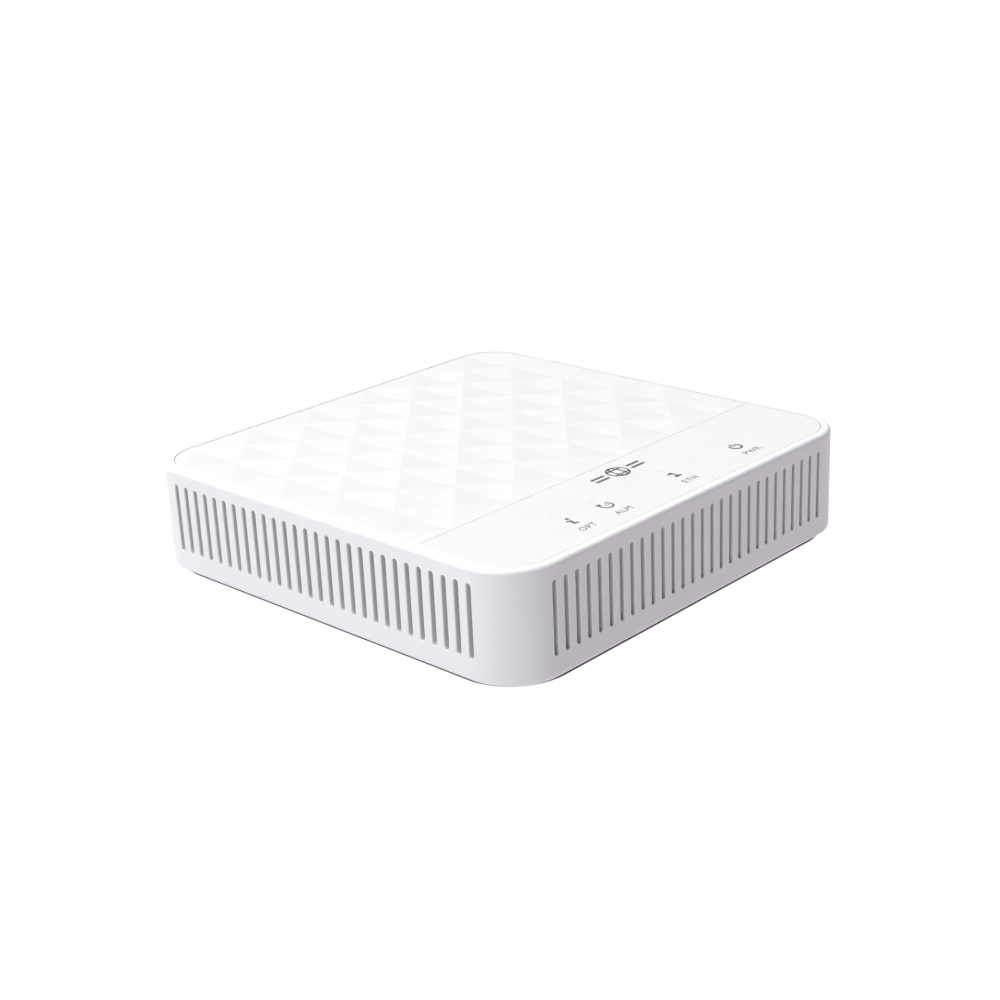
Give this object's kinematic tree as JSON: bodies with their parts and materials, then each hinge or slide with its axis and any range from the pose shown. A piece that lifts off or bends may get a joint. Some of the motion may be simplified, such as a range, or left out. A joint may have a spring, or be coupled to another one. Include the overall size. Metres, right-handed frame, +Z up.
{
  "type": "optical network terminal",
  "caption": "Low square white desktop box with slotted sides, a faceted top plate with an indicator strip, and fibre, Ethernet and power sockets in a bay at the rear.",
  "frame": {"origin": "the middle of the footprint, at the height of the surface that the feet stand on", "axes": "+Z up; -Y is the front edge, with the indicator strip; +Y is the rear, with the sockets; +X is to the right as seen from the front"},
  "size_m": [0.1204, 0.1194, 0.0264],
  "materials": {
    "shell_plastic": "fine even satin, warm white",
    "plate_plastic": "semi-gloss white",
    "light_guide_clear": "clear moulded acrylic",
    "black_plastic": "satin black",
    "chip_resin": "fine matt resin",
    "board_green": "green solder mask",
    "zinc_steel": "zinc-plated",
    "tin_plate": "tin-plated sheet",
    "gold_plate": "gold-plated",
    "sink_aluminium": "plain extruded",
    "pad_rubber": "soft silicone",
    "foot_rubber": "grey rubber",
    "label_paper": "matt label stock",
    "port_plastic": "green connector plastic",
    "zirconia": "ground white",
    "cap_aluminium": "plain can",
    "ceramic_tan": "fired",
    "lamp_resin": "clear resin",
    "button_plastic": "semi-gloss white"
  },
  "bodies": {
    "case": {"upper_housing": "shell_plastic", "top_plate": "plate_plastic", "base_cover": "shell_plastic", "rating_label": "label_paper", "foot_front_left": "foot_rubber", "foot_front_right": "foot_rubber", "foot_rear_left": "foot_rubber", "foot_rear_right": "foot_rubber", "housing_screws": "zinc_steel", "main_board": "board_green", "board_screws": "zinc_steel", "processor": "chip_resin", "thermal_pad": "pad_rubber", "heat_sink": "sink_aluminium", "heat_sink_pins": "black_plastic", "memory_chip": "chip_resin", "flash_chip": "chip_resin", "lan_transformer": "chip_resin", "laser_driver_chip": "chip_resin", "power_converter_chips": "chip_resin", "power_inductors": "black_plastic", "electrolytic_capacitors": "cap_aluminium", "crystal": "tin_plate", "ceramic_capacitors": "ceramic_tan", "light_blocker": "black_plastic", "light_guide": "light_guide_clear", "status_lamps": "lamp_resin", "dc_socket_body": "black_plastic", "dc_centre_pin": "tin_plate", "dc_side_spring": "tin_plate", "lan_socket_shield": "tin_plate", "lan_socket_housing": "black_plastic", "lan_socket_contacts": "gold_plate", "fibre_socket_housing": "port_plastic", "sleeve_holder": "port_plastic", "fibre_socket_latch": "port_plastic", "alignment_sleeve": "zirconia", "fibre_stub": "zirconia", "optical_block": "tin_plate", "laser_can": "gold_plate", "receiver_can": "gold_plate", "optics_cover": "tin_plate", "power_switch_body": "black_plastic", "reset_switch_body": "black_plastic"},
    "power_button": {"power_button": "button_plastic", "power_switch_plunger": "black_plastic"},
    "reset_button": {"reset_plunger": "button_plastic"}
  },
  "joints": [
    {"name": "power_button_press", "type": "slide", "parent": "case", "child": "power_button", "axis": [0, -1, 0], "range_m": [0, 0.002], "stiffness_N_per_m": 800},
    {"name": "reset_button_press", "type": "slide", "parent": "case", "child": "reset_button", "axis": [0, -1, 0], "range_m": [0, 0.0003], "stiffness_N_per_m": 5000}
  ]
}
